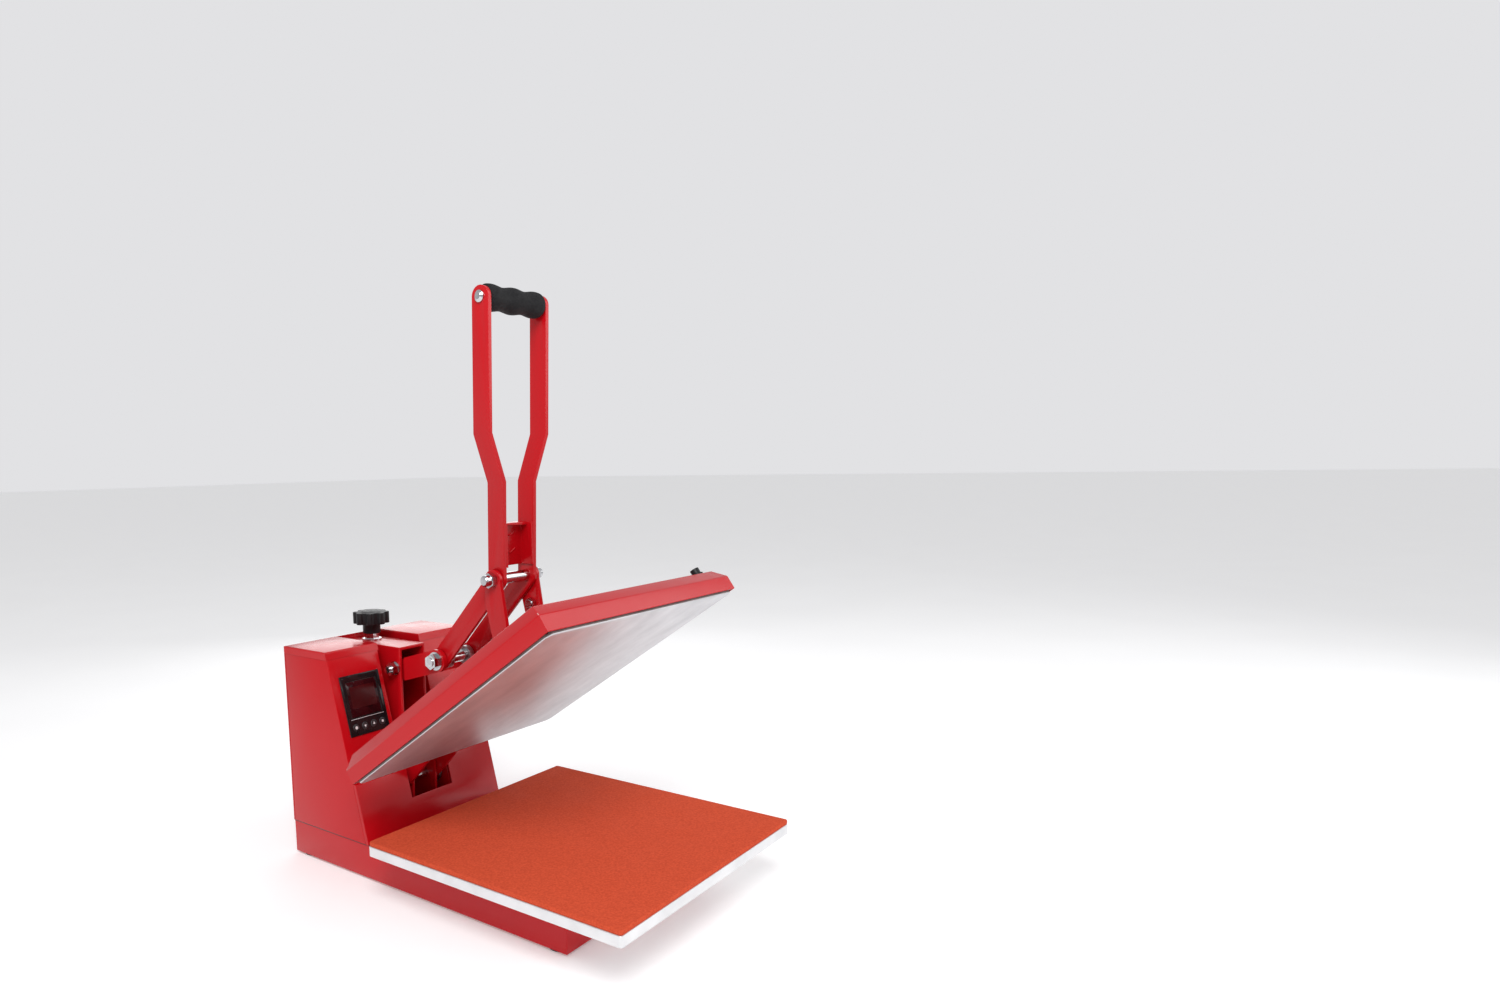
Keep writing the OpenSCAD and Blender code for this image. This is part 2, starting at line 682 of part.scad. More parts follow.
base_tray();
rubber_feet();
bed_stand();
lower_platen();
silicone_pad();
housing_left();
housing_right();
rear_panel();
front_panel();
housing_screws();
column();
main_axle();
axle_clips();
lift_springs();
platen_arm_left();
platen_arm_right();
arm_tie();
platen_bolts();
platen_cover();
insulation_pad();
heating_plate();
heating_element();
thermocouple();
lead_gland();
pressure_arm();
anchor_bolt();
rear_axle();
rear_axle_nuts();
axle_collars();
lever_left();
lever_right();
handle_web();
knee_bolt();
knee_spacer();
grip_foam();
grip_bolt();
toggle_leg_left();
toggle_leg_right();
toggle_studs();
toggle_shaft();
pressure_knob();
pressure_stud();
pressure_nut();
stud_bush();
control_fascia();
display_window();
button_set();
button_down();
button_up();
button_mode();
control_board();
relay_module();
terminal_block();
power_inlet();
rocker_switch();
rocker_key();
fuse_holder();
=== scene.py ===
import json
import math

import bmesh
import bpy
from mathutils import Matrix, Vector


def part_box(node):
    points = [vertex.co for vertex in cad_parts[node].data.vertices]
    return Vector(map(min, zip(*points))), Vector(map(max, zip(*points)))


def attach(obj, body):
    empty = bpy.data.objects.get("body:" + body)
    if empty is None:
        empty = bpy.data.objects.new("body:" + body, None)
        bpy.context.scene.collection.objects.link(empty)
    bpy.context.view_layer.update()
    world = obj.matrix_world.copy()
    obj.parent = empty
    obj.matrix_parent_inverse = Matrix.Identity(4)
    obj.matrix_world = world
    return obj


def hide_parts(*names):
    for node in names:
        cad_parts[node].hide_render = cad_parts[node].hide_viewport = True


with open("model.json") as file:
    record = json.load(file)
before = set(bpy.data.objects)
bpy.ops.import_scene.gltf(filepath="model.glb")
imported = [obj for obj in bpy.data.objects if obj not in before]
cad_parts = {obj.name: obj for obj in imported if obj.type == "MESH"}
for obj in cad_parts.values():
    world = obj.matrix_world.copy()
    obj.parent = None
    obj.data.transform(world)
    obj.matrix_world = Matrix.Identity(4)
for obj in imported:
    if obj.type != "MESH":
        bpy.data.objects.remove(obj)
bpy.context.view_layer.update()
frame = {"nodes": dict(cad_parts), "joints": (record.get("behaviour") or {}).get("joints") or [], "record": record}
nodes = frame["nodes"]
record = frame["record"]
bodyOf = {node: body for body, members in record["behaviour"]["bodies"].items() for node in members}
slotOf = {part["node"]: part["material_slot"] for part in record["subparts"]}
print("frame loaded,", len(nodes), "nodes")

# camera on the operator's left and in front
camera = {
    "place": (-0.9255, -0.8134, 0.5518),
    "ahead": (0.7555, 0.6353, -0.1604),
    "right": (0.641, -0.7673, -0.02),
    "lens": 23.05,
    "shift": (0.1477, 0.0795),
    "sensor": 36,
    "nearest": 0.01,
}


def aimCamera():
    ahead = Vector(camera["ahead"]).normalized()
    right = Vector(camera["right"])
    right = (right - right.dot(ahead) * ahead).normalized()
    up = right.cross(ahead)
    turn = Matrix((right, up, -ahead)).transposed().to_4x4()
    data = bpy.data.cameras.new("benchCamera")
    data.sensor_width = camera["sensor"]
    data.lens = camera["lens"]
    data.shift_x, data.shift_y = camera["shift"]
    data.clip_start = camera["nearest"]
    view = bpy.data.objects.new("benchCamera", data)
    view.matrix_world = Matrix.Translation(camera["place"]) @ turn
    bpy.context.collection.objects.link(view)
    bpy.context.scene.camera = view


aimCamera()
print("camera placed")


# a finish starts from plain constants, and grain then varies its colour, gloss and surface
def newFinish(name, colour, roughness, metallic=0.0, **fixed):
    material = bpy.data.materials.new(name)
    material.use_nodes = True
    tree = material.node_tree
    shader = tree.nodes["Principled BSDF"]
    shader.inputs["Base Color"].default_value = (*colour, 1)
    shader.inputs["Roughness"].default_value = roughness
    shader.inputs["Metallic"].default_value = metallic
    for socket, value in fixed.items():
        shader.inputs[socket.replace("_", " ")].default_value = value
    material.diffuse_color = (*colour, 1)
    return material, tree, shader


def grain(tree, scale, detail=3.0, stretch=None):
    noise = tree.nodes.new("ShaderNodeTexNoise")
    noise.inputs["Scale"].default_value = scale
    noise.inputs["Detail"].default_value = detail
    place = tree.nodes.new("ShaderNodeTexCoord")
    if stretch:
        mapping = tree.nodes.new("ShaderNodeMapping")
        mapping.inputs["Scale"].default_value = stretch
        tree.links.new(place.outputs["Object"], mapping.inputs["Vector"])
        tree.links.new(mapping.outputs["Vector"], noise.inputs["Vector"])
    else:
        tree.links.new(place.outputs["Object"], noise.inputs["Vector"])
    return noise.outputs["Fac"]


noiseSettings = {"spread": (0.3, 0.7), "tint": (0.32, 0.68)}  # the part of the noise that each one uses


def spread(tree, value, low, high):
    ramp = tree.nodes.new("ShaderNodeMapRange")
    start, end = noiseSettings["spread"]
    ramp.inputs["From Min"].default_value = start
    ramp.inputs["From Max"].default_value = end
    ramp.inputs["To Min"].default_value = low
    ramp.inputs["To Max"].default_value = high
    tree.links.new(value, ramp.inputs["Value"])
    return ramp.outputs["Result"]


def tint(tree, shader, value, dark, light):
    ramp = tree.nodes.new("ShaderNodeValToRGB")
    for element, position, colour in zip(ramp.color_ramp.elements, noiseSettings["tint"], (dark, light)):
        element.position = position
        element.color = (*colour, 1)
    tree.links.new(value, ramp.inputs["Fac"])
    tree.links.new(ramp.outputs["Color"], shader.inputs["Base Color"])


def relief(tree, shader, value, height, strength):
    bump = tree.nodes.new("ShaderNodeBump")
    bump.inputs["Distance"].default_value = height
    bump.inputs["Strength"].default_value = strength
    tree.links.new(value, bump.inputs["Height"])
    tree.links.new(bump.outputs["Normal"], shader.inputs["Normal"])


powderCoatSettings = {
    "dark": (0.46, 0.003, 0.007),
    "light": (0.53, 0.004, 0.009),
    "gloss": (0.18, 0.25),
    "roughness": 0.22,
    "shine": 0.33,
    "cloud": 3,
    "mottle": 60,
    "peel": (900, 1.5),
    "peelDepth": (0.00006, 0.35),
}


def powderCoat():
    s = powderCoatSettings
    material, tree, shader = newFinish("redPowderCoat", s["light"], s["roughness"],
                                       Specular_IOR_Level=s["shine"])
    tint(tree, shader, grain(tree, s["cloud"]), s["dark"], s["light"])
    tree.links.new(spread(tree, grain(tree, s["mottle"]), *s["gloss"]), shader.inputs["Roughness"])
    relief(tree, shader, grain(tree, *s["peel"]), *s["peelDepth"])
    return material


# grain scale and detail for the tone, the gloss and the relief, and the relief's height and strength
grains = {
    "silicone": {"tone": (420, 6), "gloss": (25, 3), "relief": (1400, 2), "depth": (0.0001, 0.6)},
    "aluminium": {"tone": (30, 5), "gloss": (240, 4), "relief": (700, 3), "depth": (0.00005, 0.3)},
    "steel": {"tone": (140, 4), "gloss": (420, 3), "relief": (1100, 2), "depth": (0.00003, 0.25)},
    "moulding": {"tone": (60, 3), "gloss": (180, 2), "relief": (900, 3), "depth": (0.00008, 0.5)},
}


def grained(kind, name, dark, light, rough, metallic=0.0, stretch=None, height=None, **fixed):
    g = grains[kind]
    usualHeight, strength = g["depth"]
    material, tree, shader = newFinish(name, light, sum(rough) / 2, metallic, **fixed)
    tint(tree, shader, grain(tree, *g["tone"], stretch), dark, light)
    tree.links.new(spread(tree, grain(tree, *g["gloss"], stretch), *rough), shader.inputs["Roughness"])
    relief(tree, shader, grain(tree, *g["relief"], stretch), height or usualHeight, strength)
    return material


siliconeSettings = {
    "dark": (0.49, 0.060, 0.026),
    "light": (0.62, 0.086, 0.037),
    "rough": (0.78, 0.92),
    "shine": 0.06,
}


def siliconeRubber():
    s = siliconeSettings
    return grained("silicone", "orangeSilicone", s["dark"], s["light"], s["rough"],
                   Specular_IOR_Level=s["shine"])


def satinAluminium(name, dark, light, rough, stretch=None):
    return grained("aluminium", name, dark, light, rough, 0.85, stretch)


def steel(name, dark, light, rough):
    return grained("steel", name, dark, light, rough, 1.0)


def moulding(name, dark, light, rough, **fixed):
    return grained("moulding", name, dark, light, rough, **fixed)


foamSettings = {
    "colour": (0.01, 0.01, 0.011),
    "dark": (0.004, 0.004, 0.005),
    "light": (0.013, 0.013, 0.014),
    "rough": (0.72, 0.92),
    "cells": 900,
    "depth": (0.0004, 0.5),
}


def gripFoamFinish():
    s = foamSettings
    material, tree, shader = newFinish("blackFoam", s["colour"], 0.85, Specular_IOR_Level=0.3)
    cells = tree.nodes.new("ShaderNodeTexVoronoi")
    cells.inputs["Scale"].default_value = s["cells"]
    place = tree.nodes.new("ShaderNodeTexCoord")
    tree.links.new(place.outputs["Object"], cells.inputs["Vector"])
    tint(tree, shader, cells.outputs["Distance"], s["dark"], s["light"])
    tree.links.new(spread(tree, grain(tree, 120), *s["rough"]), shader.inputs["Roughness"])
    relief(tree, shader, cells.outputs["Distance"], *s["depth"])
    return material


woolSettings = {
    "colour": (0.72, 0.68, 0.56),
    "dark": (0.52, 0.48, 0.38),
    "light": (0.80, 0.77, 0.66),
    "layers": (1, 1, 5),
    "depth": (0.0012, 0.8),
}


def ceramicWool():
    s = woolSettings
    material, tree, shader = newFinish("ceramicWool", s["colour"], 0.95, Sheen_Weight=0.3)
    tint(tree, shader, grain(tree, 90, 8), s["dark"], s["light"])
    relief(tree, shader, grain(tree, 260, 8, s["layers"]), *s["depth"])
    return material


# dark tone, light tone and the range of roughness of each
finishes = {
    "red_paint": powderCoat(),
    "bare_aluminium": satinAluminium("satinAluminium", (0.50, 0.51, 0.53), (0.64, 0.65, 0.67), (0.30, 0.44)),
    "silicone": siliconeRubber(),
    "black_rubber": moulding("blackRubber", (0.012, 0.012, 0.013), (0.03, 0.03, 0.03), (0.7, 0.9)),
    "black_foam": gripFoamFinish(),
    "bright_steel": steel("platedSteel", (0.50, 0.50, 0.52), (0.68, 0.68, 0.69), (0.08, 0.20)),
    "grey_steel": steel("plainSteel", (0.36, 0.36, 0.37), (0.55, 0.55, 0.56), (0.28, 0.45)),
    "brass": steel("turnedBrass", (0.52, 0.34, 0.10), (0.70, 0.50, 0.20), (0.2, 0.35)),
    "black_plastic": moulding("blackPlastic", (0.003, 0.003, 0.004), (0.008, 0.008, 0.009), (0.38, 0.52),
                              Specular_IOR_Level=0.35),
    "red_plastic": moulding("redPlastic", (0.40, 0.01, 0.012), (0.55, 0.02, 0.02), (0.2, 0.3)),
    "button_plastic": moulding("keyPlastic", (0.016, 0.016, 0.018), (0.035, 0.035, 0.038), (0.22, 0.34),
                               height=0.00003),
    "dark_glass": moulding("screenGlass", (0.012, 0.002, 0.003), (0.030, 0.004, 0.006), (0.05, 0.09),
                           height=0.00001, Specular_IOR_Level=0.4),
    "board_plastic": moulding("circuitBoard", (0.01, 0.08, 0.03), (0.02, 0.14, 0.05), (0.35, 0.5)),
    "relay_aluminium": satinAluminium("finnedAluminium", (0.42, 0.42, 0.44), (0.6, 0.6, 0.62), (0.35, 0.5),
                                      (1, 1, 12)),
    "pale_plastic": moulding("palePlastic", (0.55, 0.52, 0.42), (0.68, 0.65, 0.55), (0.4, 0.55)),
    "insulation": ceramicWool(),
}
panelGloss = moulding("glossyPanel", (0.006, 0.006, 0.007), (0.013, 0.013, 0.014), (0.07, 0.13),
                      height=0.00001, Specular_IOR_Level=0.35)
markPaint = moulding("markPaint", (0.72, 0.72, 0.73), (0.86, 0.86, 0.87), (0.4, 0.5))
# painted shade for the heating plate's side faces
paintedShadeEdge = moulding("paintedShadeEdge", (0.10, 0.07, 0.065), (0.17, 0.12, 0.11), (0.45, 0.6))
# pale pink colour for thin lines along the platen cover's corner seams
seamPaint = moulding("paleSeamLine", (0.62, 0.30, 0.29), (0.80, 0.62, 0.60), (0.35, 0.5))
mutedRed = moulding("mutedRedInk", (0.040, 0.004, 0.005), (0.048, 0.005, 0.006), (0.12, 0.2), height=0.000005)
platenSkin = satinAluminium("platenSkin", (0.55, 0.55, 0.57), (0.66, 0.66, 0.68), (0.36, 0.50), (1, 0.15, 1))
edgeSkin = satinAluminium("boardEdge", (0.74, 0.74, 0.75), (0.84, 0.84, 0.85), (0.42, 0.55))
# painted shade for the column's inner faces, also the colour of the dark joint line along the base
paintedShadeAndJointCoat = moulding("paintedShadeAndJointCoat", (0.075, 0.003, 0.004), (0.12, 0.005, 0.007), (0.4, 0.5))

for node, item in nodes.items():
    item.data.materials.clear()
    item.data.materials.append(finishes[slotOf[node]])
nodes["heating_plate"].data.materials[0] = platenSkin
nodes["lower_platen"].data.materials[0] = edgeSkin
print("finishes made,", len(finishes))


# helpers that the pieces share
weldSettings = {"merge": 2e-5, "flat": 1.5, "sameHeight": 1e-4, "foldAngle": 0.4}


def keep(mesh, name, body, slot, material=None, replaced=(), smooth=30):
    bmesh.ops.recalc_face_normals(mesh, faces=mesh.faces)
    data = bpy.data.meshes.new(name)
    mesh.to_mesh(data)
    mesh.free()
    data.materials.append(material or finishes[slot])
    data.shade_smooth()
    data.set_sharp_from_angle(angle=math.radians(smooth))
    piece = bpy.data.objects.new(name, data)
    bpy.context.collection.objects.link(piece)
    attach(piece, body)
    if replaced:
        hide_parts(*replaced)
    return piece


def centreOf(node):
    low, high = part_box(node)
    return (low + high) / 2


def roundEdges(mesh, edges, width, segments, clamp=False):
    bmesh.ops.bevel(mesh, geom=edges, offset=width, offset_type="OFFSET", affect="EDGES", segments=segments,
                    profile=0.5, clamp_overlap=clamp, material=-1)


def drawOut(mesh, faces, move, keepOriginal=False):
    made = bmesh.ops.extrude_face_region(mesh, geom=faces, use_keep_orig=keepOriginal)["geom"]
    bmesh.ops.translate(mesh, vec=move, verts=[v for v in made if isinstance(v, bmesh.types.BMVert)])
    return [f for f in made if isinstance(f, bmesh.types.BMFace)]


def thicken(mesh, turn, amount):
    drawOut(mesh, mesh.faces[:], turn.to_3x3() @ Vector((0, 0, amount)), keepOriginal=True)


def mergedCopy(node):
    mesh = bmesh.new()
    mesh.from_mesh(nodes[node].data)
    bmesh.ops.remove_doubles(mesh, verts=mesh.verts, dist=weldSettings["merge"])
    bmesh.ops.dissolve_limit(mesh, angle_limit=math.radians(weldSettings["flat"]), verts=mesh.verts,
                             edges=mesh.edges)
    return mesh


def folds(mesh, shortest, angle=weldSettings["foldAngle"]):
    paired = [edge for edge in mesh.edges if len(edge.link_faces) == 2]
    return [edge for edge in paired if edge.calc_length() > shortest and edge.calc_face_angle(0) > angle]


def softened(node, name, width, segments, shortest, material):
    mesh = mergedCopy(node)
    roundEdges(mesh, folds(mesh, shortest), width, segments, clamp=True)
    keep(mesh, name, bodyOf[node], slotOf[node], material, (node,))


swing = next(joint for joint in frame["joints"] if joint["name"] == "platen_swing")

# sheet metal and castings: name, width of the rounded edges, segments, edges shorter than this stay sharp
rounding = {
    "platen_cover": ("coverShell", 0.0022, 4, 0.02),
    "housing_left": ("boxLeft", 0.0015, 3, 0.012),
    "housing_right": ("boxRight", 0.0015, 3, 0.012),
    "front_panel": ("apronPanel", 0.0012, 3, 0.012),
    "base_tray": ("baseTray", 0.0018, 3, 0.012),
    "bed_stand": ("bedStand", 0.0012, 3, 0.012),
    "column": ("column", 0.0010, 2, 0.012),
    "pressure_arm": ("adjustingArm", 0.0008, 2, 0.008),
    "platen_arm_left": ("platenArmLeft", 0.0008, 2, 0.006),
    "platen_arm_right": ("platenArmRight", 0.0008, 2, 0.006),
    "lever_left": ("leverLeft", 0.0009, 3, 0.0),
    "lever_right": ("leverRight", 0.0009, 3, 0.0),
    "toggle_leg_left": ("toggleLegLeft", 0.0009, 3, 0.0),
    "toggle_leg_right": ("toggleLegRight", 0.0009, 3, 0.0),
    "handle_web": ("handleWeb", 0.0009, 3, 0.006),
    "lower_platen": ("lowerPlaten", 0.0010, 3, 0.0),
    "heating_plate": ("heatingPlate", 0.0012, 3, 0.0),
    "pressure_knob": ("starKnob", 0.0016, 4, 0.0),
    "control_fascia": ("controlFascia", 0.0007, 3, 0.02),
    "rocker_key": ("rockerKey", 0.0008, 3, 0.006),
    "relay_module": ("relayModule", 0.0006, 2, 0.012),
    "terminal_block": ("terminalBlock", 0.0006, 2, 0.005),
    "power_inlet": ("powerInlet", 0.0010, 3, 0.008),
    "rocker_switch": ("rockerFrame", 0.0006, 2, 0.008),
}
ownSkin = {"lower_platen": edgeSkin, "heating_plate": platenSkin, "control_fascia": panelGloss}
for node, (name, width, segments, shortest) in rounding.items():
    softened(node, name, width, segments, shortest, ownSkin.get(node))


# painted shade on the inner faces of the column's channel, and painted shade on the heating plate's side faces
shadeSettings = {"halfGap": 0.0204, "back": 0.25, "facing": 0.9, "edgeOn": 0.1}


def shadeInside(name):
    s = shadeSettings
    data = bpy.data.objects[name].data
    data.materials.append(paintedShadeAndJointCoat)
    for face in data.polygons:
        within = abs(face.center.x) < s["halfGap"]
        wall = abs(face.normal.x) > s["facing"]
        back = face.center.y > s["back"] and face.normal.y < -s["facing"]
        roof = face.normal.z < -s["facing"]
        if within and (wall or back or roof):
            face.material_index = 1


# paints shade on the heating plate's side faces, those edge-on to the opened plate's face
def paintShadeOnSides(name):
    data = bpy.data.objects[name].data
    data.materials.append(paintedShadeEdge)
    facing = Matrix.Rotation(math.radians(-swing["range_deg"][1]), 3, "X") @ Vector((0, 0, 1))
    for face in data.polygons:
        if abs(face.normal.dot(facing)) < shadeSettings["edgeOn"]:
            face.material_index = 1


shadeInside("column")
paintShadeOnSides("heatingPlate")
print("edges rounded,", len(rounding))

# heat pad on the bed
padSettings = {"round": 0.0016, "segments": 4, "fill": 1.0}


def siliconePad():
    s = padSettings
    mesh = mergedCopy("silicone_pad")
    sameHeight = weldSettings["sameHeight"]
    rims = [e for e in folds(mesh, 0.0) if abs(e.verts[0].co.z - e.verts[1].co.z) < sameHeight]
    roundEdges(mesh, rims, s["round"], s["segments"], clamp=True)
    pad = keep(mesh, "siliconePad", "base", "silicone", replaced=("silicone_pad",))


siliconePad()

# foam grip, with shallow waves for the fingers and rounded ends
gripSettings = {
    "core": 0.0051,
    "radius": 0.0150,
    "wave": 0.0011,
    "waves": 2.5,
    "end": 0.004,
    "steps": 56,
    "merge": 1e-6,
    "smooth": 50,
    "fill": 1.0,
}


def foamGrip():
    s = gripSettings
    low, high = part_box("grip_foam")
    middle = centreOf("grip_foam")
    length = high.x - low.x
    mesh = bmesh.new()
    ring = [(low.x, s["core"])]
    for step in range(s["steps"] + 1):
        t = step / s["steps"]
        away = min(t, 1 - t) * length
        closing = math.sqrt(max(0.0, 1 - (1 - min(1.0, away / s["end"])) ** 2))
        wave = s["radius"] + s["wave"] * math.cos(2 * math.pi * s["waves"] * (t - 0.5))
        ring.append((low.x + t * length, wave - s["end"] * (1 - closing)))
    ring.append((high.x, s["core"]))
    points = [mesh.verts.new((x, middle.y, middle.z + r)) for x, r in ring]
    for a, b in zip(points, points[1:] + points[:1]):
        mesh.edges.new((a, b))
    bmesh.ops.spin(mesh, geom=mesh.verts[:] + mesh.edges[:], cent=middle, axis=(1, 0, 0), angle=2 * math.pi,
                   steps=s["steps"], use_merge=True, use_duplicate=False)
    bmesh.ops.remove_doubles(mesh, verts=mesh.verts, dist=s["merge"])
    grip = keep(mesh, "foamGrip", "lever", "black_foam", replaced=("grip_foam",), smooth=s["smooth"])


foamGrip()
print("pad and grip made")

# pressed creases in the web between the bars, two shallow V shapes
creaseSettings = {
    "drops": (0.014, 0.036),
    "arm": 0.013,
    "reach": 0.42,
    "thick": 0.0022,
    "sink": 0.0030,
    "lean": 28,
    "round": 0.35,
}


def webCreases():
    s = creaseSettings
    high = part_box("handle_web")[1]
    mesh = bmesh.new()
    for drop in s["drops"]:
        for side in (-1, 1):
            place = Matrix.Translation((side * s["arm"] * s["reach"], high.y - s["sink"], high.z - drop))
            lean = Matrix.Rotation(math.radians(-side * s["lean"]), 4, "Y")
            bar = Matrix.Diagonal((s["arm"], s["thick"], s["thick"], 1))
            bmesh.ops.create_cube(mesh, size=1, matrix=place @ lean @ bar)
    roundEdges(mesh, mesh.edges[:], s["thick"] * s["round"], 3)
    keep(mesh, "webCreases", "lever", "red_paint")


webCreases()

# pale lines along the cover's corner seams, set out on the shut platen and then swung open
seamSettings = {
    "radius": 0.0007,
    "sides": 10,
    "inset": 0.0009,
    "half": (0.194, 0.193),
    "middle": -0.117,
    "levels": (0.0965, 0.1150, 0.1300),
    "bevel": 0.011,
}


def raisedPoint(point):
    axle = Vector(swing["pos_m"])
    lift = Matrix.Rotation(math.radians(-swing["range_deg"][1]), 3, "X")
    return axle + lift @ (Vector(point) - axle)


def seamRod(mesh, start, end):
    s = seamSettings
    along = end - start
    turn = along.to_track_quat("Z", "Y").to_matrix().to_4x4()
    bmesh.ops.create_cone(mesh, cap_ends=True, segments=s["sides"], radius1=s["radius"], radius2=s["radius"],
                          depth=along.length, matrix=Matrix.Translation((start + end) / 2) @ turn)


def cornerSeams():
    s = seamSettings
    mesh = bmesh.new()
    halfX, halfY = (half - s["inset"] for half in s["half"])
    innerX, innerY = halfX - s["bevel"], halfY - s["bevel"]
    foot, fold, top = s["levels"]
    for sideX in (-1, 1):
        for sideY in (-1, 1):
            lowest = raisedPoint((sideX * halfX, s["middle"] + sideY * halfY, foot))
            corner = raisedPoint((sideX * halfX, s["middle"] + sideY * halfY, fold))
            inner = raisedPoint((sideX * innerX, s["middle"] + sideY * innerY, top - s["inset"]))
            seamRod(mesh, lowest, corner)
            seamRod(mesh, corner, inner)
    keep(mesh, "cornerSeams", "platen", "red_paint", seamPaint)


cornerSeams()
print("creases and seams made")

# lift springs round the main axle: a straight leg, a coil and a second leg
springSettings = {
    "radius": 0.019,
    "wire": 0.0009,
    "sides": 12,
    "turns": 2.6,
    "steps": 110,
    "start": 0.0331,
    "run": 0.0046,
    "first": 205,
    "leg": 0.026,
    "smooth": 60,
}


def liftSpring(side):
    s = springSettings
    centre = centreOf("main_axle")
    first = math.radians(s["first"])
    last = first - 2 * math.pi * s["turns"]
    out = Vector((0, math.cos(first), math.sin(first)))
    along = Vector((0, -math.sin(first), math.cos(first)))
    leaving = Vector((0, -math.sin(last), math.cos(last)))
    facing = Matrix((out, Vector((1, 0, 0)), along)).transposed().to_4x4()
    place = Vector((side * s["start"], centre.y, centre.z)) + s["radius"] * out
    mesh = bmesh.new()
    bmesh.ops.create_circle(mesh, segments=s["sides"], radius=s["wire"], cap_ends=True,
                            matrix=Matrix.Translation(place + s["leg"] * along) @ facing)
    tip = drawOut(mesh, mesh.faces[:], -s["leg"] * along)
    turned = bmesh.ops.spin(mesh, geom=tip, cent=(0, centre.y, centre.z), axis=(-1, 0, 0),
                            dvec=(side * s["run"] / s["steps"], 0, 0), angle=2 * math.pi * s["turns"],
                            steps=s["steps"], use_merge=False, use_duplicate=False)["geom_last"]
    drawOut(mesh, [g for g in turned if isinstance(g, bmesh.types.BMFace)], -s["leg"] * leaving)
    return mesh


def liftSprings():
    mesh = liftSpring(1)
    other = liftSpring(-1)
    spare = bpy.data.meshes.new("spareSpring")
    other.to_mesh(spare)
    other.free()
    mesh.from_mesh(spare)
    bpy.data.meshes.remove(spare)
    keep(mesh, "liftSprings", "base", "grey_steel", replaced=("lift_springs",),
         smooth=springSettings["smooth"])


liftSprings()
print("springs wound")


# controls, which all sit on the box's slanted face
slant = {"back": 0.0654, "height": 0.255}  # how far the face goes back over its height


def slantFrame(place):
    lean = math.atan2(slant["back"], slant["height"])
    inward = Vector((0, math.cos(lean), -math.sin(lean)))
    across = Vector((1, 0, 0))
    upward = across.cross(inward)
    return Matrix.Translation(place) @ Matrix((across, upward, -inward)).transposed().to_4x4()


def block(turn, place, size, rounded, segments):
    mesh = bmesh.new()
    bmesh.ops.create_cube(mesh, size=1, matrix=turn @ Matrix.Translation(place) @ Matrix.Diagonal((*size, 1)))
    roundEdges(mesh, mesh.edges[:], rounded, segments)
    return mesh


screenSettings = {
    "glass": (0.0535, 0.0495, 0.0028),
    "round": 0.0006,
    "line": (0.058, 0.0005, 0.0004),
    "lineRound": 0.0001,
    "lineBelow": 0.0022,
    "lineStand": 0.0019,
    "pane": (0.044, 0.030, 1),
    "panePlace": (0, 0.002, 0.00165),
    "paneThick": 0.0002,
}


def screen():
    s = screenSettings
    turn = slantFrame(centreOf("display_window"))
    glass = block(turn, (0, 0, 0), s["glass"], s["round"], 3)
    keep(glass, "screenGlass", "base", "dark_glass", replaced=("display_window",))
    belowGlass = (0, -s["glass"][1] / 2 - s["lineBelow"], s["lineStand"])
    line = block(turn, belowGlass, s["line"], s["lineRound"], 2)
    keep(line, "panelLine", "base", "button_plastic", markPaint)
    pane = bmesh.new()
    bmesh.ops.create_grid(pane, x_segments=1, y_segments=1, size=0.5,
                          matrix=turn @ Matrix.Translation(s["panePlace"]) @ Matrix.Diagonal((*s["pane"], 1)))
    thicken(pane, turn, -s["paneThick"])
    keep(pane, "screenArea", "base", "dark_glass", mutedRed)


screen()

keySettings = {
    "radius": 0.0053,
    "height": 0.007,
    "round": 0.0009,
    "segments": 4,
    "sides": 40,
    "ring": 0.0042,
    "ringWide": 0.0006,
    "mark": 0.0022,
    "sink": 0.00005,
    "ink": 0.0002,
}


def key(node, name, sides, spin):
    s = keySettings
    turn = slantFrame(centreOf(node))
    mesh = bmesh.new()
    bmesh.ops.create_cone(mesh, cap_ends=True, segments=s["sides"], radius1=s["radius"], radius2=s["radius"],
                          depth=s["height"], matrix=turn)
    roundEdges(mesh, folds(mesh, 0.0, angle=1), s["round"], s["segments"])
    keep(mesh, name, bodyOf[node], "button_plastic", replaced=(node,))
    mark = bmesh.new()
    top = turn @ Matrix.Translation((0, 0, s["height"] / 2 - s["sink"]))
    bmesh.ops.create_circle(mark, segments=s["sides"], radius=s["ring"], cap_ends=True, matrix=top)
    bmesh.ops.inset_region(mark, faces=mark.faces[:], thickness=s["ringWide"], use_even_offset=True)
    core = [f for f in mark.faces if len(f.verts) == s["sides"]]
    bmesh.ops.delete(mark, geom=core, context="FACES")
    bmesh.ops.create_circle(mark, segments=sides, radius=s["mark"], cap_ends=True,
                            matrix=top @ Matrix.Rotation(math.radians(spin), 4, "Z"))
    thicken(mark, turn, s["ink"])
    keep(mark, name + "Mark", bodyOf[node], "button_plastic", markPaint)


# a dot, two triangles and a square stand for the keys' functions
key("button_set", "keySet", 24, 0)
key("button_down", "keyDown", 3, 180)
key("button_up", "keyUp", 3, 0)
key("button_mode", "keyMode", 4, 45)
print("controls made")

# folded lids on the two boxes, thin shells over the boxes' own tops
lidSettings = {
    "skirt": 0.010,
    "stand": 0.0006,
    "round": 0.0015,
    "shortest": 0.012,
    "inward": 0.02,
    "cut": 1e-6,
}


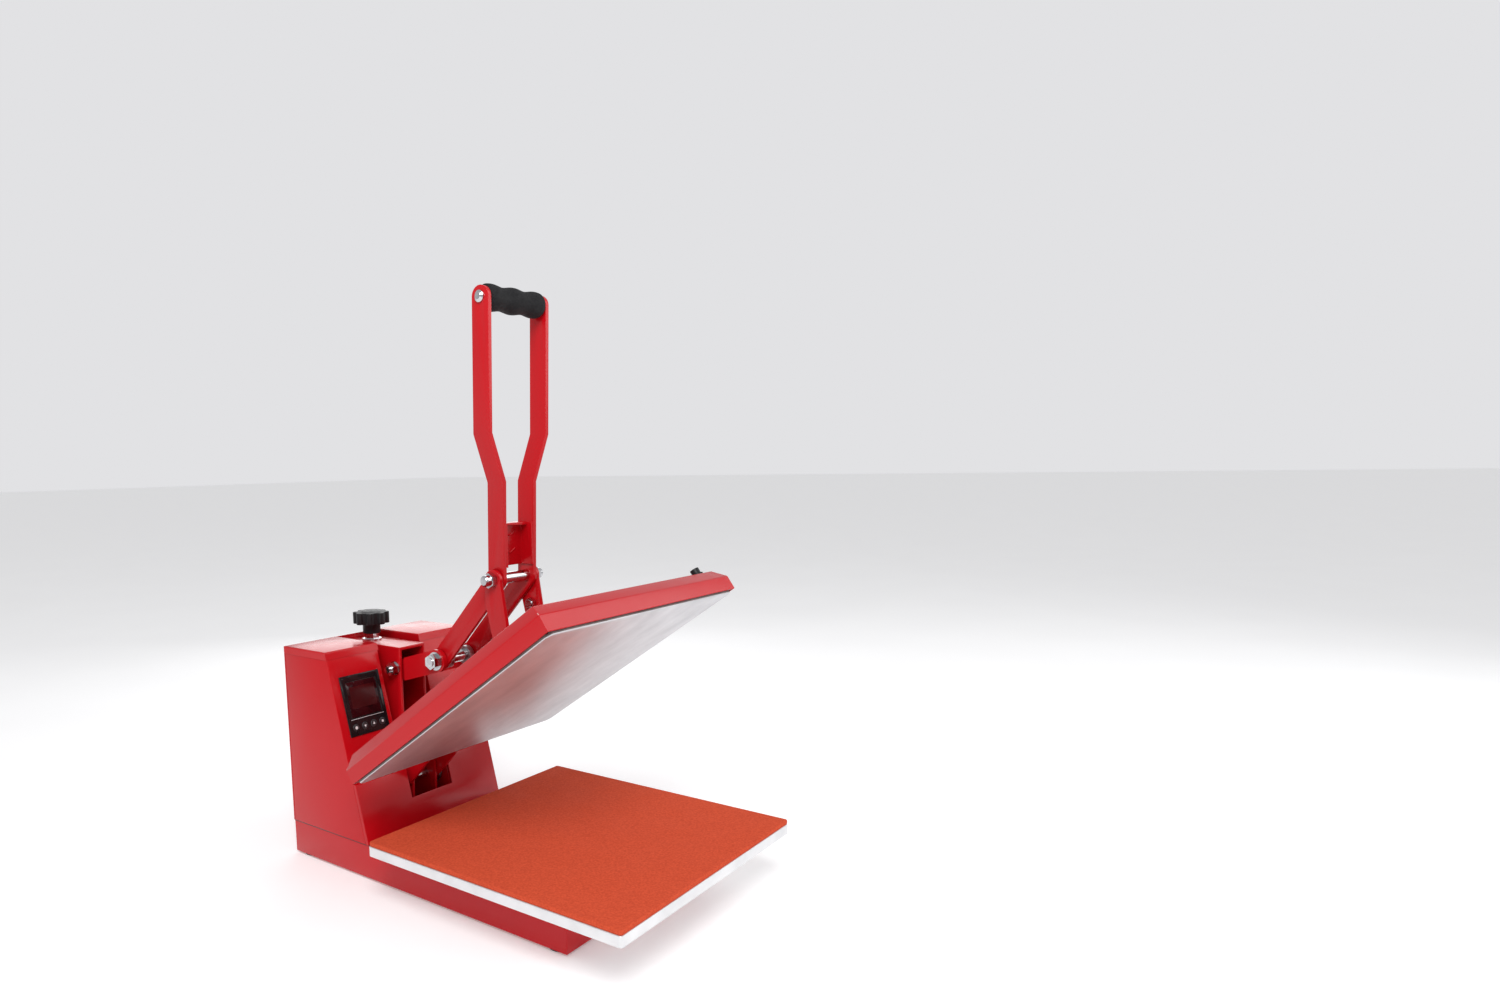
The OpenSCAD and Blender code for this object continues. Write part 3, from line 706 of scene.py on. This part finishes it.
def boxLid(node, name):
    s = lidSettings
    mesh = mergedCopy(node)
    low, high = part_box(node)
    bmesh.ops.bisect_plane(mesh, geom=mesh.verts[:] + mesh.edges[:] + mesh.faces[:], dist=s["cut"],
                           plane_co=(0, 0, high.z - s["skirt"]), plane_no=(0, 0, 1), clear_inner=True)
    middle = (low + high) / 2
    inside = Vector((middle.x, middle.y, high.z - s["inward"]))
    inner = [f for f in mesh.faces if (f.calc_center_median() - inside).dot(f.normal) < 0]
    bmesh.ops.delete(mesh, geom=inner, context="FACES")
    roundEdges(mesh, folds(mesh, s["shortest"]), s["round"], 3)
    bmesh.ops.recalc_face_normals(mesh, faces=mesh.faces)
    bmesh.ops.solidify(mesh, geom=mesh.faces[:], thickness=-s["stand"])
    keep(mesh, name, "base", "red_paint")


boxLid("housing_left", "lidLeft")
boxLid("housing_right", "lidRight")
print("lids folded")

# dark joint between the boxes and the base
jointSettings = {"stand": 0.0006, "high": 0.0022, "front": 0.1416, "backInset": 0.0005, "round": 0.00044}


def baseJoint():
    s = jointSettings
    low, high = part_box("base_tray")
    left, right = low.x - s["stand"], high.x + s["stand"]
    front, back = s["front"], high.y - s["backInset"]
    middle = ((left + right) / 2, (front + back) / 2, high.z)
    mesh = block(Matrix.Identity(4), middle, (right - left, back - front, s["high"]), s["round"], 2)
    keep(mesh, "baseJoint", "base", "red_paint", paintedShadeAndJointCoat)


baseJoint()
print("joint line made")

# floor and light
studio = {
    "floor": 30,
    "floorDark": (0.91, 0.91, 0.91),
    "floorLight": (0.93, 0.93, 0.93),
    "floorGlow": 0.17,
    "aim": (0, 0, 0.25),
    "key": {"place": (-1.7, -1.3, 2.3), "size": 1.3, "power": 54},
    "fill": {"place": (1.6, -1.6, 1.5), "size": 1.8, "power": 14},
    "back": {"place": (1.15, 1.3, 0.85), "size": 1.1, "power": 4.5},
    "sky": (0.95, 0.95, 0.97),
    "skyPower": 0.6,
    "skySeen": 0.80,
}


def layFloor():
    mesh = bmesh.new()
    bmesh.ops.create_grid(mesh, x_segments=2, y_segments=2, size=studio["floor"])
    data = bpy.data.meshes.new("paleFloor")
    mesh.to_mesh(data)
    mesh.free()
    material, tree, shader = newFinish("paleFloor", (0.92, 0.92, 0.92), 0.9,
                                       Emission_Strength=studio["floorGlow"])
    shader.inputs["Emission Color"].default_value = (1, 1, 1, 1)
    tint(tree, shader, grain(tree, 4), studio["floorDark"], studio["floorLight"])
    data.materials.append(material)
    floor = bpy.data.objects.new("paleFloor", data)
    bpy.context.collection.objects.link(floor)


def hangLight(name, place, size, power):
    data = bpy.data.lights.new(name, "AREA")
    data.shape = "DISK"
    data.size = size
    data.energy = power
    lamp = bpy.data.objects.new(name, data)
    lamp.location = place
    lamp.rotation_euler = (Vector(studio["aim"]) - Vector(place)).to_track_quat("-Z", "Y").to_euler()
    bpy.context.collection.objects.link(lamp)
    lamp.visible_camera = False


def lightStudio():
    for name in ("key", "fill", "back"):
        hangLight(name + "Light", **studio[name])
    world = bpy.data.worlds.new("paleStudio")
    world.use_nodes = True
    backdrop = world.node_tree.nodes["Background"]
    backdrop.inputs["Color"].default_value = (*studio["sky"], 1)
    seen = world.node_tree.nodes.new("ShaderNodeLightPath")
    power = world.node_tree.nodes.new("ShaderNodeMapRange")
    power.inputs["To Min"].default_value = studio["skyPower"]
    power.inputs["To Max"].default_value = studio["skySeen"]
    world.node_tree.links.new(seen.outputs["Is Camera Ray"], power.inputs["Value"])
    world.node_tree.links.new(power.outputs["Result"], backdrop.inputs["Strength"])
    bpy.context.scene.world = world
    bpy.context.scene.view_settings.view_transform = "Standard"


layFloor()
lightStudio()
print("studio lit")
